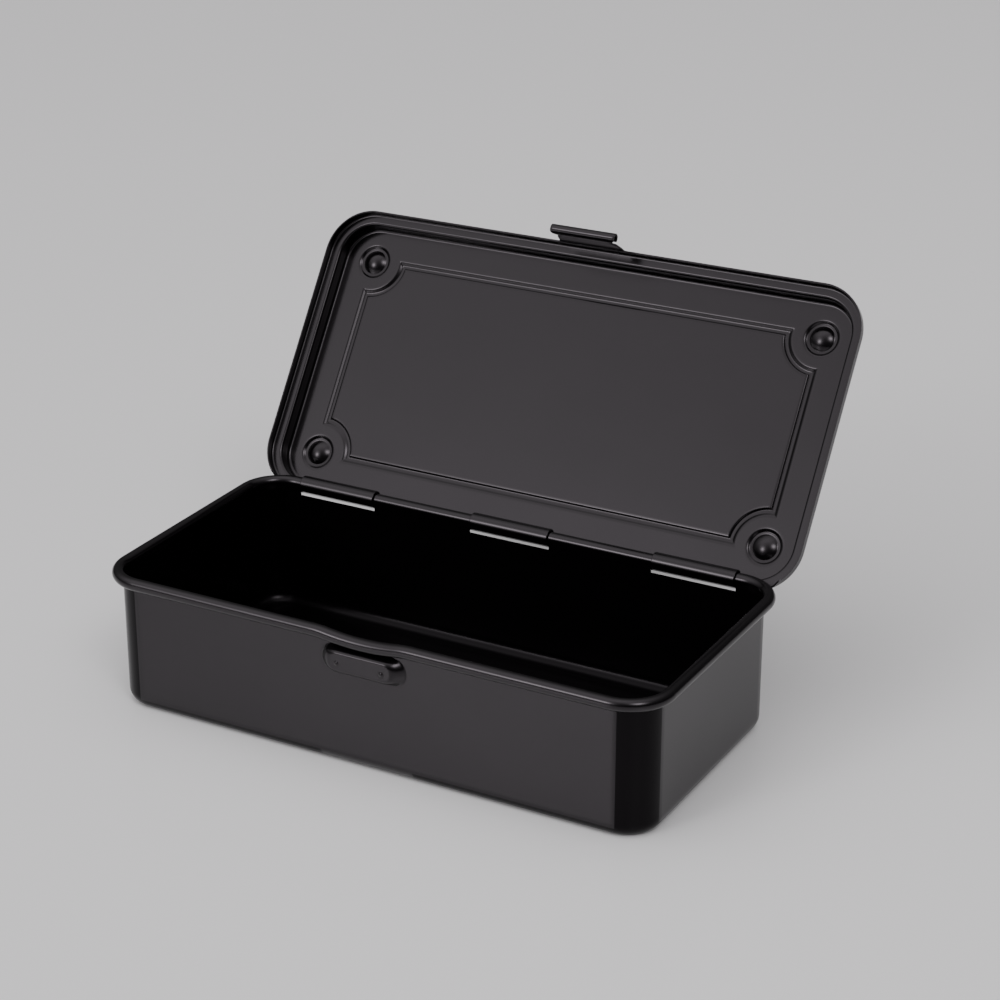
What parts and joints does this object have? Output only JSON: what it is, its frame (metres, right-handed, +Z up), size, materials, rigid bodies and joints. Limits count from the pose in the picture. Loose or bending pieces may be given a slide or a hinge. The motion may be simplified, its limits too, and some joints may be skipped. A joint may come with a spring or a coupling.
{
  "type": "metal lunch box",
  "caption": "Hinged pressed-steel lunch box: deep rolled-rim tray, domed-foot lid on rolled knuckles, spring latch tongue.",
  "frame": {"origin": "centre of the tray's flat underside, on the surface it stands on", "axes": "+Z up, +X along the long side, the latch and catch at the front (-Y), the hinge at the back (+Y); the lid stands fully open at rest"},
  "size_m": [0.2052, 0.1634, 0.1388],
  "materials": {
    "black_enamel": "satin black stoving enamel"
  },
  "bodies": {
    "base": {"base_tray": "black_enamel"},
    "lid": {"lid_shell": "black_enamel", "hinge_knuckle_left": "black_enamel", "hinge_knuckle_center": "black_enamel", "hinge_knuckle_right": "black_enamel"},
    "latch": {"latch_tongue": "black_enamel"}
  },
  "joints": [
    {"name": "lid_hinge", "type": "hinge", "parent": "base", "child": "lid", "pos_m": [0, 0.04915, 0.04645], "axis": [1, 0, 0], "range_deg": [0, 124.9]},
    {"name": "latch_flex", "type": "hinge", "parent": "lid", "child": "latch", "pos_m": [0, 0.10732, 0.13097], "axis": [-1, 0, 0], "range_deg": [0, 8], "stiffness_Nm_per_rad": 0.1}
  ]
}
